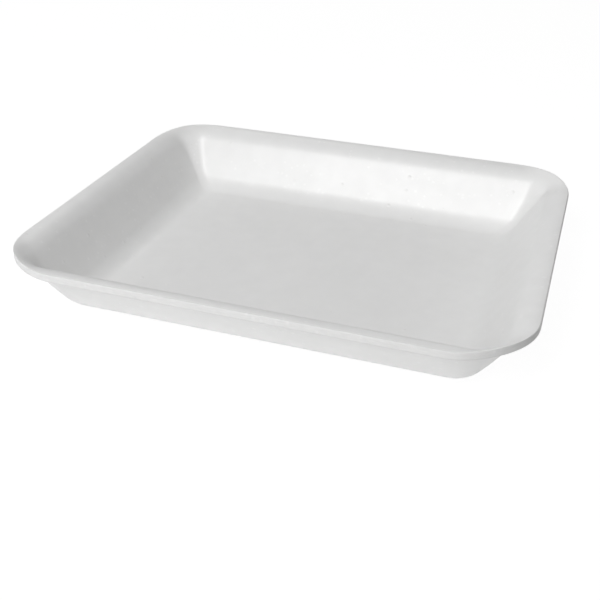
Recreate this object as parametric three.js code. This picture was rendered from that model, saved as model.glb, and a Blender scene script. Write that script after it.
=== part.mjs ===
// A shallow food tray, thermoformed in one piece from a sheet of expanded polystyrene foam.
// Millimetres, +Z up. The origin is the centre of the underside, on the surface the tray stands on.
//
// One section runs all the way round the tray: an upright cut edge, a lip that rises over a low
// crest and turns down into the wall, a sloping wall, and a fillet that runs out into the flat
// floor. The section is lofted through rounded rectangles, one for each of its points, which
// shrink towards the floor.

import * as THREE from 'three';

// Outline of the rim, seen from above
const length = 225;
const width = 186;
const rimCornerRadius = 32.5;

// Heights, from the underside
const height = 31;
const cornerLift = 1;

// Section: the sheet, and the curves of its upper face
const sheetThickness = 3.6;
const cutEdgeRounding = 0.6;
const lipRadius = 13;
const lipDroopDegrees = 3.5;
const wallSlopeDegrees = 56;
const footRadius = 14;
const floorCornerRadius = 7;

// How fast the corners tighten below the rim: the power of the share of the way left to the floor
const cornerTightening = 2.4;

// Smoothness of the round stretches, in flat facets
const facets = { rimCorner: 14, lip: 8, foot: 8, cutEdge: 2 };

const wallSlope = THREE.MathUtils.degToRad(wallSlopeDegrees);
const lipDroop = THREE.MathUtils.degToRad(lipDroopDegrees);
const crestInset = lipRadius * Math.sin(lipDroop);
const floorInset = insetOfFloor();

// How far the floor's flat lies inside the rim's outline: the run out to the lip's crest, the two
// curves and the straight wall between them, whose length is what the curves leave of the height.
function insetOfFloor() {
  const curves = lipRadius + footRadius;
  const straightRise = height - sheetThickness - curves * (1 - Math.cos(wallSlope));
  return crestInset + curves * Math.sin(wallSlope) + straightRise / Math.tan(wallSlope);
}

// An arc of the section as points of (inset from the rim's outline, height).
function arc(inset, z, radius, startAngle, endAngle, steps) {
  const clockwise = endAngle < startAngle;
  return new THREE.EllipseCurve(inset, z, radius, radius, startAngle, endAngle, clockwise).getPoints(steps);
}

// The rounding between the upright cut edge and a curved face of the lip, from the distance
// between their centres: its height, and how far past the crest the two curves meet.
function cutCorner(reach) {
  const out = crestInset - cutEdgeRounding;
  return { z: height - lipRadius + Math.sqrt(reach ** 2 - out ** 2), angle: Math.asin(out / reach) };
}

// The upper face, from the cut edge down to the floor. Both curves share their centres with the
// lower face, so the sheet keeps its thickness round them.
function upperFace() {
  const up = Math.PI / 2;
  const round = cutEdgeRounding;
  const corner = cutCorner(lipRadius - round);
  const droop = up + corner.angle;
  return [
    ...arc(round, corner.z, round, Math.PI, droop, facets.cutEdge),
    ...arc(crestInset, height - lipRadius, lipRadius, droop, up - wallSlope, facets.lip).slice(1),
    ...arc(floorInset, sheetThickness + footRadius, footRadius, -up - wallSlope, -up, facets.foot),
  ];
}

// The lower face, from the underside out to the cut edge.
function lowerFace() {
  const up = Math.PI / 2;
  const round = cutEdgeRounding;
  const inside = lipRadius - sheetThickness;
  const outside = footRadius + sheetThickness;
  const corner = cutCorner(inside + round);
  const droop = corner.angle;
  return [
    ...arc(floorInset, outside, outside, -up, -up - wallSlope, facets.foot),
    ...arc(crestInset, height - lipRadius, inside, up - wallSlope, up + droop, facets.lip),
    ...arc(round, corner.z, round, droop - up, -Math.PI, facets.cutEdge).slice(1),
  ];
}

// The rounded rectangle through one point of the section. Its corners tighten towards the floor,
// and the rim stands a little higher round them, a rise that fades out towards the floor.
function ringAt(point) {
  const share = Math.max(0, 1 - point.x / floorInset);
  const radius = THREE.MathUtils.lerp(floorCornerRadius, rimCornerRadius, share ** cornerTightening);
  const lift = cornerLift * share ** 2;
  const centreX = length / 2 - point.x - radius;
  const centreY = width / 2 - point.x - radius;
  const corners = [[1, 1], [-1, 1], [-1, -1], [1, -1]];
  return corners.flatMap(([sideX, sideY], index) => {
    const start = index * Math.PI / 2;
    const x = sideX * centreX;
    const y = sideY * centreY;
    const curve = new THREE.EllipseCurve(x, y, radius, radius, start, start + Math.PI / 2);
    const steps = facets.rimCorner;
    return curve.getPoints(steps).map((spot, step) => {
      const rise = Math.sin(Math.PI * step / steps) ** 2;
      return new THREE.Vector3(spot.x, spot.y, point.y + lift * rise);
    });
  });
}

// A closed skin over a row of rings: a band between each ring and the next, and a fan of
// triangles that closes the first ring over the floor and the last ring under it.
function loftedBody(rings) {
  const around = rings[0].length;
  const floorCentre = new THREE.Vector3(0, 0, rings[0][0].z);
  const undersideCentre = new THREE.Vector3(0, 0, rings.at(-1)[0].z);
  const points = [...rings.flat(), floorCentre, undersideCentre];
  const floorIndex = points.length - 2;
  const undersideIndex = points.length - 1;
  const lastRing = (rings.length - 1) * around;
  const faces = [];
  for (let step = 0; step < around; step += 1) {
    const next = (step + 1) % around;
    faces.push(floorIndex, step, next);
    for (let ring = 0; ring < lastRing; ring += around) {
      faces.push(ring + step, ring + around + step, ring + around + next);
      faces.push(ring + step, ring + around + next, ring + next);
    }
    faces.push(undersideIndex, lastRing + next, lastRing + step);
  }
  const geometry = new THREE.BufferGeometry().setFromPoints(points);
  geometry.setIndex(faces);
  geometry.computeVertexNormals();
  return geometry;
}

function foamTray() {
  const foam = new THREE.MeshStandardMaterial({ color: 0xf2f2f1, roughness: 0.8, metalness: 0 });
  foam.name = 'foam';
  const fromFloorToUnderside = [...upperFace().reverse(), ...lowerFace().reverse()];
  const tray = new THREE.Mesh(loftedBody(fromFloorToUnderside.map(ringAt)), foam);
  tray.name = 'tray';
  return tray;
}

const model = new THREE.Group();
model.name = 'foam_tray';
model.add(foamTray());

export default model;
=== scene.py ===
"""A white foam food tray on a pale floor, in soft studio light.

The tray is one sheet of polystyrene foam, thermoformed with its lip and cut out. Lengths are in
metres, +Z is up, and the origin is the centre of the tray's underside.
"""

import math

import bpy
from mathutils import Matrix, Vector


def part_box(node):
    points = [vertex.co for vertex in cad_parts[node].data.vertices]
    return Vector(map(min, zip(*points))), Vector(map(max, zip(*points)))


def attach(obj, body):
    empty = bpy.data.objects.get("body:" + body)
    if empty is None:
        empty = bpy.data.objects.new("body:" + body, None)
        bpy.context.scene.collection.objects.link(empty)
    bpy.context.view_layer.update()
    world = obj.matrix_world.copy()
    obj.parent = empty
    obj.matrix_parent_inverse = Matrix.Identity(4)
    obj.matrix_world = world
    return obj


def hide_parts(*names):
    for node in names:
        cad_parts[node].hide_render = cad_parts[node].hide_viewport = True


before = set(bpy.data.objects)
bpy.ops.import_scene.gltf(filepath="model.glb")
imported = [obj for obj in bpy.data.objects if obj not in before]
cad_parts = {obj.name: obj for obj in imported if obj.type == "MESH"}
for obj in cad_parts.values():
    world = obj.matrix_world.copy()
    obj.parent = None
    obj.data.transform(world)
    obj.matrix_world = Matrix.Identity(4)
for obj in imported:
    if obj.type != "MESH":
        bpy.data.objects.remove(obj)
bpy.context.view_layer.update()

MM = 0.001

# Sizes of the section: the sheet, and the curves of its upper face
SHEET = 3.6 * MM
RIM_CORNER_RADIUS = 32.5 * MM
CUT_EDGE_ROUNDING = 0.6 * MM
LIP_FLAT = 0.8 * MM
LIP_RADIUS = 13 * MM
WALL_SLOPE = math.radians(56)
FOOT_RADIUS = 14 * MM

# The corners tighten below the rim by a power of the share of the way left to the floor. The
# inner face tightens more than the outer one, where the stretched sheet thins round the corner.
FLOOR_CORNER_RADIUS = 4 * MM
UNDERSIDE_CORNER_RADIUS = 7 * MM
INNER_TIGHTENING = 3.4
OUTER_TIGHTENING = 2.4

# The knife's rough face takes in this share of the cut edge's roundings
CUT_SHARE_OF_ROUNDING = 0.9

# How much higher the rim stands at its corners, at the cut edge and at its highest point
CORNER_LIFT = 1 * MM
CREST_LIFT = 0.98 * MM

# Camera, as found from the outline of the rim and the body in the photograph
CAMERA_AZIMUTH = math.radians(18.38)
CAMERA_ELEVATION = math.radians(29.046)
CAMERA_ROLL = math.radians(0.662)
CAMERA_DISTANCE = 0.43318
FOCAL_LENGTH_PX = 897.69
OPTICAL_CENTRE_PX = (309.45, 270.01)
IMAGE_PX = 600
SENSOR_MM = 36

# Fineness of the mesh: how far apart points lie, and how many each rounding has
SECTION_SPACING = 3 * MM
SECTION_ROUNDING_POINTS = 14
RIM_SPACING = 2 * MM
RIM_CORNER_POINTS = 48
MERGE_DISTANCE = 0.01 * MM

# The studio: a square floor, and square soft boxes at one distance from the tray
FLOOR_SIDE = 6.0
SOFTBOX_SIDE = 0.45
SOFTBOX_DISTANCE = 1.2


class Value:
    """A node's output, which takes part in sums: each operation adds its Math node."""

    def __init__(self, graph, socket):
        self.graph = graph
        self.socket = socket

    def maths(self, operation, first, second=None):
        values = {0: first} if second is None else {0: first, 1: second}
        return self.graph.node("ShaderNodeMath", {"operation": operation}, values)

    def __add__(self, other):
        return self.maths("ADD", self, other)

    def __radd__(self, other):
        return self.maths("ADD", other, self)

    def __sub__(self, other):
        return self.maths("SUBTRACT", self, other)

    def __rsub__(self, other):
        return self.maths("SUBTRACT", other, self)

    def __mul__(self, other):
        return self.maths("MULTIPLY", self, other)

    def __rmul__(self, other):
        return self.maths("MULTIPLY", other, self)

    def __truediv__(self, other):
        return self.maths("DIVIDE", self, other)

    def __rtruediv__(self, other):
        return self.maths("DIVIDE", other, self)

    def __pow__(self, other):
        return self.maths("POWER", self, other)

    def tangent(self):
        return self.maths("TANGENT", self)

    def rounded_down(self):
        return self.maths("FLOOR", self)

    def at_most(self, other):
        return self.maths("MINIMUM", self, other)

    def at_least(self, other):
        return self.maths("MAXIMUM", self, other)

    def below(self, other):
        return self.maths("LESS_THAN", self, other)

    def above(self, other):
        return self.maths("GREATER_THAN", self, other)

    def output(self, name):
        """Another output of the same node."""
        return Value(self.graph, self.socket.node.outputs[name])


class Graph:
    """A node tree, with one method that adds any node."""

    def __init__(self, tree):
        self.tree = tree

    def node(self, kind, settings=None, values=None, output=0):
        made = self.tree.nodes.new(kind)
        for name, setting in (settings or {}).items():
            setattr(made, name, setting)
        for key, value in (values or {}).items():
            self.feed(made.inputs[key], value)
        return Value(self, made.outputs[output]) if len(made.outputs) else made

    def feed(self, socket, value):
        if isinstance(value, Value):
            self.tree.links.new(value.socket, socket)
        else:
            socket.default_value = value

    def choose(self, index, options):
        """The option whose number is the index, as a field."""
        switch = self.tree.nodes.new("GeometryNodeIndexSwitch")
        switch.data_type = "FLOAT"
        while len(switch.index_switch_items) < len(options):
            switch.index_switch_items.new()
        self.feed(switch.inputs["Index"], index)
        for number, option in enumerate(options):
            self.feed(switch.inputs[number + 1], option)
        return Value(self, switch.outputs[0])

    def vector(self, x, y, z=0.0):
        return self.node("ShaderNodeCombineXYZ", None, {0: x, 1: y, 2: z})

    def parts_of(self, vector):
        x = self.node("ShaderNodeSeparateXYZ", None, {0: vector})
        return x, x.output("Y"), x.output("Z")

    def on_vectors(self, operation, first, second=None):
        values = {0: first} if second is None else {0: first, 1: second}
        return self.node("ShaderNodeVectorMath", {"operation": operation}, values)

    def noise(self, place, scale, detail):
        values = {"Vector": place, "Scale": scale, "Detail": detail}
        return self.node("ShaderNodeTexNoise", None, values)

    def voronoi(self, place, scale):
        """The distance from the nearest of a set of random points, as a share of their spacing."""
        return self.node("ShaderNodeTexVoronoi", None, {"Vector": place, "Scale": scale})

    def mixed(self, factor, first, second):
        """A blend of two colours, which have sockets 6 and 7 of the node."""
        settings = {"data_type": "RGBA"}
        return self.node("ShaderNodeMix", settings, {0: factor, 6: first, 7: second}, 2)

    def scaled(self, vector, factor):
        values = {"Vector": vector, "Scale": factor}
        return self.node("ShaderNodeVectorMath", {"operation": "SCALE"}, values)

    def stored(self, geometry, name, value, data_type="FLOAT_VECTOR"):
        settings = {"data_type": data_type, "domain": "POINT"}
        values = {"Geometry": geometry, "Name": name, "Value": value}
        return self.node("GeometryNodeStoreNamedAttribute", settings, values)

    def named(self, name, data_type="FLOAT_VECTOR"):
        settings = {"data_type": data_type}
        return self.node("GeometryNodeInputNamedAttribute", settings, {"Name": name})


# The tray's form


def tray_sizes():
    """The driving sizes of the tray, by the names of the tree's inputs."""
    low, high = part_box("tray")
    return {
        "Length": high.x - low.x,
        "Width": high.y - low.y,
        "Height": high.z - low.z - CREST_LIFT,
        "Sheet": SHEET,
        "Rim corner radius": RIM_CORNER_RADIUS,
        "Corner lift": CORNER_LIFT,
        "Cut edge rounding": CUT_EDGE_ROUNDING,
        "Lip flat": LIP_FLAT,
        "Lip radius": LIP_RADIUS,
        "Wall slope": WALL_SLOPE,
        "Foot radius": FOOT_RADIUS,
        "Floor corner radius": FLOOR_CORNER_RADIUS,
        "Underside corner radius": UNDERSIDE_CORNER_RADIUS,
        "Inner tightening": INNER_TIGHTENING,
        "Outer tightening": OUTER_TIGHTENING,
    }


def floor_inset(size):
    """How far the floor's flat lies inside the outline of the rim."""
    half_turn = (size["Wall slope"] * 0.5).tangent()
    curves = size["Lip radius"] + size["Foot radius"]
    rise = size["Height"] - size["Sheet"]
    return size["Lip flat"] + curves * half_turn + rise / size["Wall slope"].tangent()


def section_curve(graph, size):
    """The section from the middle of the floor, up and over the lip to the cut edge, and back
    under it to the middle of the underside. X is the inset from the rim and Y is the level."""
    half_turn = (size["Wall slope"] * 0.5).tangent()
    shift = size["Sheet"] * half_turn
    lip = size["Lip flat"] + size["Lip radius"] * half_turn
    foot = floor_inset(size) - size["Foot radius"] * half_turn
    middle = size["Width"] * 0.5
    under_lip = size["Height"] - size["Sheet"]
    rounding = size["Cut edge rounding"]

    # Inset, level, radius of the rounding, and 1 where the outer face starts
    corners = [
        (middle, size["Sheet"], 0.0, 0.0),
        (foot, size["Sheet"], size["Foot radius"], 0.0),
        (lip, size["Height"], size["Lip radius"], 0.0),
        (0.0, size["Height"], rounding, 0.0),
        (0.0, under_lip, rounding, 1.0),
        (lip - shift, under_lip, size["Lip radius"] - size["Sheet"], 1.0),
        (foot - shift, 0.0, size["Foot radius"] + size["Sheet"], 1.0),
        (middle, 0.0, 0.0, 1.0),
    ]
    index = graph.node("GeometryNodeInputIndex")
    inset, level, radius, outer = (graph.choose(index, column) for column in zip(*corners))
    values = {"Count": len(corners), "Position": graph.vector(inset, level)}
    points = graph.node("GeometryNodePoints", None, values)
    points = graph.stored(points, "outer", outer, "FLOAT")
    straight = graph.node("GeometryNodePointsToCurves", None, {"Points": points})
    points_each = SECTION_ROUNDING_POINTS
    values = {"Curve": straight, "Count": points_each, "Radius": radius, "Limit Radius": True}
    rounded = graph.node("GeometryNodeFilletCurve", {"mode": "POLY"}, values)
    return subdivided(graph, rounded, SECTION_SPACING)


def subdivided(graph, curve, spacing):
    """The curve with points added along its long straight stretches."""
    here = graph.node("GeometryNodeInputPosition")
    index = graph.node("GeometryNodeInputIndex")
    settings = {"data_type": "FLOAT_VECTOR", "domain": "POINT"}
    there = graph.node("GeometryNodeFieldAtIndex", settings, {"Index": index + 1, "Value": here})
    values = {0: here, 1: there}
    gap = graph.node("ShaderNodeVectorMath", {"operation": "DISTANCE"}, values, "Value")
    cuts = (gap / spacing).rounded_down()
    return graph.node("GeometryNodeSubdivideCurve", None, {"Curve": curve, "Cuts": cuts})


def rim_curve(graph, size):
    """The outline of the rim, seen from above."""
    values = {"Width": size["Length"], "Height": size["Width"]}
    rectangle = graph.node("GeometryNodeCurvePrimitiveQuadrilateral", None, values)
    radius = size["Rim corner radius"]
    values = {"Curve": rectangle, "Count": RIM_CORNER_POINTS, "Radius": radius}
    rounded = graph.node("GeometryNodeFilletCurve", {"mode": "POLY"}, values)
    values = {"Curve": rounded, "Length": RIM_SPACING}
    return graph.node("GeometryNodeResampleCurve", {"mode": "LENGTH"}, values)


def place_on_tray(graph, size):
    """Where a point of the skin lies: each point of the section draws a rounded rectangle whose
    corners tighten towards the floor, and the rim rises a little round its corners."""
    corner = size["Rim corner radius"]
    outer = graph.named("outer", "FLOAT")
    lowest = size["Floor corner radius"] * (1 - outer) + size["Underside corner radius"] * outer
    tightening = size["Inner tightening"] * (1 - outer) + size["Outer tightening"] * outer
    half_length = size["Length"] * 0.5
    half_width = size["Width"] * 0.5
    floor = floor_inset(size)
    inset, level, _ = graph.parts_of(graph.named("section"))
    ring = inset.at_most(floor)
    share = 1 - ring / floor
    radius = lowest + (corner - lowest) * share ** tightening

    outline = graph.named("outline")
    core = graph.vector(half_length - corner, half_width - corner)
    pivot = graph.on_vectors("MINIMUM", outline, core)
    pivot = graph.on_vectors("MAXIMUM", pivot, graph.scaled(core, -1.0))
    outward = graph.on_vectors("NORMALIZE", graph.on_vectors("SUBTRACT", outline, pivot))
    new_core = graph.vector(half_length - ring - radius, half_width - ring - radius)
    shrink = graph.on_vectors("DIVIDE", new_core, core)
    flat = graph.on_vectors("MULTIPLY", pivot, shrink)
    flat = graph.on_vectors("ADD", flat, graph.scaled(outward, radius))
    towards_middle = (inset - floor).at_least(0.0) / (half_width - floor)
    flat = graph.scaled(flat, 1 - towards_middle)

    # The product is fullest halfway round a corner, and nothing on the straight sides
    across, along, _ = graph.parts_of(outward)
    lift = size["Corner lift"] * share ** 2 * 4 * (across * along) ** 2
    return graph.on_vectors("ADD", flat, graph.vector(0.0, 0.0, level + lift))


def tray_tree(sizes, material):
    """The node tree that draws the tray's section round the outline of its rim."""
    tree = bpy.data.node_groups.new("tray form", "GeometryNodeTree")
    for name in sizes:
        tree.interface.new_socket(name, in_out="INPUT", socket_type="NodeSocketFloat")
    tree.interface.new_socket("Tray", in_out="OUTPUT", socket_type="NodeSocketGeometry")
    graph = Graph(tree)
    inputs = graph.node("NodeGroupInput")
    size = {name: inputs.output(name) for name in sizes}

    position = graph.node("GeometryNodeInputPosition")
    section = graph.stored(section_curve(graph, size), "section", position)
    outline = graph.stored(rim_curve(graph, size), "outline", position)
    values = {"Curve": outline, "Profile Curve": section}
    skin = graph.node("GeometryNodeCurveToMesh", None, values)
    values = {"Geometry": skin, "Position": place_on_tray(graph, size)}
    skin = graph.node("GeometryNodeSetPosition", None, values)
    inset, _, _ = graph.parts_of(graph.named("section"))
    on_edge = inset.below(size["Cut edge rounding"] * CUT_SHARE_OF_ROUNDING)
    skin = graph.stored(skin, "cut_edge", on_edge, "FLOAT")
    values = {"Geometry": skin, "Distance": MERGE_DISTANCE}
    skin = graph.node("GeometryNodeMergeByDistance", None, values)
    skin = graph.node("GeometryNodeSetShadeSmooth", None, {"Geometry": skin})
    skin = graph.node("GeometryNodeRealizeInstances", None, {"Geometry": skin})
    values = {"Geometry": skin, "Material": material}
    skin = graph.node("GeometryNodeSetMaterial", None, values)
    graph.node("NodeGroupOutput", None, {"Tray": skin})
    return tree


def plain_mesh(name, tree, sizes):
    """What the tree makes, as an object with a plain mesh and no modifier."""
    carrier = bpy.data.objects.new(name + "_carrier", bpy.data.meshes.new(name))
    bpy.context.scene.collection.objects.link(carrier)
    modifier = carrier.modifiers.new("form", "NODES")
    modifier.node_group = tree
    for item in tree.interface.items_tree:
        if item.in_out == "INPUT":
            modifier[item.identifier] = sizes[item.name]
    evaluated = carrier.evaluated_get(bpy.context.evaluated_depsgraph_get())
    mesh = bpy.data.meshes.new_from_object(evaluated)
    mesh.name = name
    bpy.data.objects.remove(carrier)
    for spare in ("section", "outline", "outer"):
        mesh.attributes.remove(mesh.attributes[spare])
    piece = bpy.data.objects.new(name, mesh)
    bpy.context.scene.collection.objects.link(piece)
    return piece


# Materials

FOAM_WHITE = (0.95, 0.95, 0.945, 1.0)
# The darker colour serves the foam's random grey mottle, and along the cut edge partly the open
# cells' own tone and partly painted shade in their hollows
FOAM_GREY_AND_CELL_SHADE = (0.75, 0.75, 0.745, 1.0)
FLOOR_WHITE = (0.92, 0.92, 0.92, 1.0)
PLAIN_WHITE = (1.0, 1.0, 1.0, 1.0)

# How the camera sees the floor: mostly as an even glow, with the rest left to paint and shadow
GLOW_SHARE = 0.88
GLOW_STRENGTH = 1.08

# How often the patterns of the foam vary, as waves or points per metre
SWELL_SCALE = 35.0
PATCH_SCALE = 40.0
RIPPLE_SCALE = 75.0
MOTTLE_SCALE = 130.0
TEAR_SCALE = 260.0
GRAIN_SCALE = 1500.0
CELL_SCALE = 2100.0

# How far above the floor the sheet is fully stretched
STRETCH_RISE = 6 * MM


def new_material(name):
    material = bpy.data.materials.new(name)
    material.use_nodes = True
    material.node_tree.nodes.clear()
    return material, Graph(material.node_tree)


def specks(graph, place, spacing, radius, share):
    """Round specks, 1 at the middle and 0 at their rim, on a share of points set apart at
    random, about as far as the spacing."""
    points = graph.voronoi(place, 1 / spacing)
    chance, _, _ = graph.parts_of(points.output("Color"))
    return (1 - points * (spacing / radius)).at_least(0.0) * chance.below(share)


def stretch_of_sheet(graph, place):
    """0 on the floor and 1 on the walls and the lip, where the sheet is stretched."""
    _, _, level = graph.parts_of(place)
    return ((level - SHEET) / STRETCH_RISE).at_least(0.0).at_most(1.0)


def light_knots(graph, place, stretched):
    """Small light specks, in patches on the stretched walls and lip."""
    in_patches = graph.noise(place, PATCH_SCALE, detail=1.0).above(0.5)
    return specks(graph, place, spacing=2.8 * MM, radius=1 * MM, share=0.4) * in_patches * stretched


def skin_relief(graph, place, stretched, mottle, knots):
    """The relief of the skin, in millimetres. Ripples run only where the sheet is stretched."""
    swell = graph.noise(place, SWELL_SCALE, detail=1.0)
    ripple = graph.noise(place, RIPPLE_SCALE, detail=1.0) * stretched
    grain = graph.noise(place, GRAIN_SCALE, detail=2.0)
    blisters = specks(graph, place, spacing=7 * MM, radius=1.1 * MM, share=0.3)
    waves = 0.13 * swell + 0.3 * ripple + 0.025 * mottle + 0.006 * grain
    return waves + 0.2 * blisters + 0.04 * knots


def foam_material():
    """White foam: a thin satin skin over fine cells, which lie open along the cut edge."""
    material, graph = new_material("white foam")
    place = graph.node("ShaderNodeTexCoord").output("Object")
    settings = {"attribute_name": "cut_edge"}
    edge = graph.node("ShaderNodeAttribute", settings).output("Fac")
    stretched = stretch_of_sheet(graph, place)
    mottle = graph.noise(place, MOTTLE_SCALE, detail=3.0)
    knots = light_knots(graph, place, stretched)

    # The knife drags along the edge, so its marks are longer along the rim than up the edge
    along_edge = graph.on_vectors("MULTIPLY", place, (1.0, 1.0, 5.0))
    torn = graph.noise(along_edge, TEAR_SCALE, detail=3.0)
    cells = graph.voronoi(place, CELL_SCALE)
    relief = skin_relief(graph, place, stretched, mottle, knots)
    relief = relief + edge * (0.05 * torn - 0.07 * cells)
    values = {"Height": relief, "Strength": 1.0, "Distance": 1 * MM}
    bump = graph.node("ShaderNodeBump", None, values)

    # Mix share of the darker colour: random grey mottle, lighter knots, and along the cut edge a
    # darkening that is partly the open cells' own tone and partly painted shade in their hollows
    grey_and_cell_shade = 0.16 + 0.25 * mottle - 0.3 * knots + edge * (0.35 + 0.6 * torn)
    values = {
        "Base Color": graph.mixed(grey_and_cell_shade, FOAM_WHITE, FOAM_GREY_AND_CELL_SHADE),
        "Roughness": 0.31 + 0.08 * mottle + 0.3 * edge,
        "Normal": bump,
    }
    shader = graph.node("ShaderNodeBsdfPrincipled", None, values)
    graph.node("ShaderNodeOutputMaterial", None, {"Surface": shader})
    return material


def seen_directly(graph):
    """1 where the camera sees a surface, by itself, in a gloss or through glass, otherwise 0."""
    rays = graph.node("ShaderNodeLightPath")
    seen = rays.output("Is Camera Ray").at_least(rays.output("Is Glossy Ray"))
    return seen.at_least(rays.output("Is Transmission Ray"))


def floor_material():
    """A matt white floor. The camera sees it near white, with the tray's soft shadow on it."""
    material, graph = new_material("white floor")
    paint = graph.node("ShaderNodeBsdfDiffuse", None, {"Color": FLOOR_WHITE})
    values = {"Color": PLAIN_WHITE, "Strength": GLOW_STRENGTH}
    glow = graph.node("ShaderNodeEmission", None, values)
    values = {0: seen_directly(graph) * GLOW_SHARE, 1: paint, 2: glow}
    mix = graph.node("ShaderNodeMixShader", None, values)
    graph.node("ShaderNodeOutputMaterial", None, {"Surface": mix})
    return material


# The studio


def pale_floor(material):
    half = FLOOR_SIDE / 2
    corners = [(-half, -half, 0), (half, -half, 0), (half, half, 0), (-half, half, 0)]
    mesh = bpy.data.meshes.new("floor")
    mesh.from_pydata(corners, [], [(0, 1, 2, 3)])
    mesh.materials.append(material)
    floor = bpy.data.objects.new("floor", mesh)
    bpy.context.scene.collection.objects.link(floor)


def direction(azimuth, elevation):
    """The unit vector from the tray towards a viewpoint. Azimuth 0 is in front of it, at -Y."""
    flat = math.cos(elevation)
    return Vector((math.sin(azimuth) * flat, -math.cos(azimuth) * flat, math.sin(elevation)))


def softbox(name, azimuth, elevation, power):
    """A square soft light that faces the tray."""
    lamp = bpy.data.lights.new(name, "AREA")
    lamp.size = SOFTBOX_SIDE
    lamp.energy = power
    box = bpy.data.objects.new(name, lamp)
    away = direction(math.radians(azimuth), math.radians(elevation))
    box.location = away * SOFTBOX_DISTANCE
    box.rotation_euler = away.to_track_quat("Z", "Y").to_euler()
    bpy.context.scene.collection.objects.link(box)


def studio_light():
    """Soft boxes round the tray, each with its azimuth and elevation in degrees, and its power."""
    softbox("low left box", -110, 10, 1.96)
    softbox("back left box", -150, 46, 1.0)
    softbox("low front box", -20, 10, 2.16)
    softbox("front box", -20, 28, 1.5)
    softbox("high front box", -20, 46, 4.75)
    softbox("middle box", 0, 46, 2.7)
    softbox("top box", 0, 65, 0.47)
    softbox("right box", 105, 46, 1.88)
    softbox("low back box", 180, 12, 0.35)


def white_surroundings():
    """Plain white all round for the camera, gloss and glass, which lights nothing else."""
    world = bpy.data.worlds.new("studio")
    world.use_nodes = True
    world.node_tree.nodes.clear()
    graph = Graph(world.node_tree)
    values = {"Color": PLAIN_WHITE, "Strength": seen_directly(graph)}
    white = graph.node("ShaderNodeBackground", None, values)
    graph.node("ShaderNodeOutputWorld", None, {"Surface": white})
    bpy.context.scene.world = world


def photographer_camera():
    back = direction(CAMERA_AZIMUTH, CAMERA_ELEVATION)
    right = Vector((math.cos(CAMERA_AZIMUTH), math.sin(CAMERA_AZIMUTH), 0))
    up = back.cross(right)
    cosine = math.cos(CAMERA_ROLL)
    sine = math.sin(CAMERA_ROLL)
    axes = Matrix((cosine * right + sine * up, cosine * up - sine * right, back)).transposed()
    data = bpy.data.cameras.new("camera")
    data.sensor_width = SENSOR_MM
    data.lens = FOCAL_LENGTH_PX * SENSOR_MM / IMAGE_PX
    data.shift_x = (IMAGE_PX / 2 - OPTICAL_CENTRE_PX[0]) / IMAGE_PX
    data.shift_y = (OPTICAL_CENTRE_PX[1] - IMAGE_PX / 2) / IMAGE_PX
    camera = bpy.data.objects.new("camera", data)
    camera.matrix_world = Matrix.Translation(back * CAMERA_DISTANCE) @ axes.to_4x4()
    bpy.context.scene.collection.objects.link(camera)
    bpy.context.scene.camera = camera


def build_tray():
    sizes = tray_sizes()
    tree = tray_tree(sizes, foam_material())
    tray = plain_mesh("foam_tray", tree, sizes)
    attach(tray, "root")
    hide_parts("tray")


build_tray()
pale_floor(floor_material())
studio_light()
white_surroundings()
photographer_camera()
bpy.context.scene.view_settings.view_transform = "Standard"
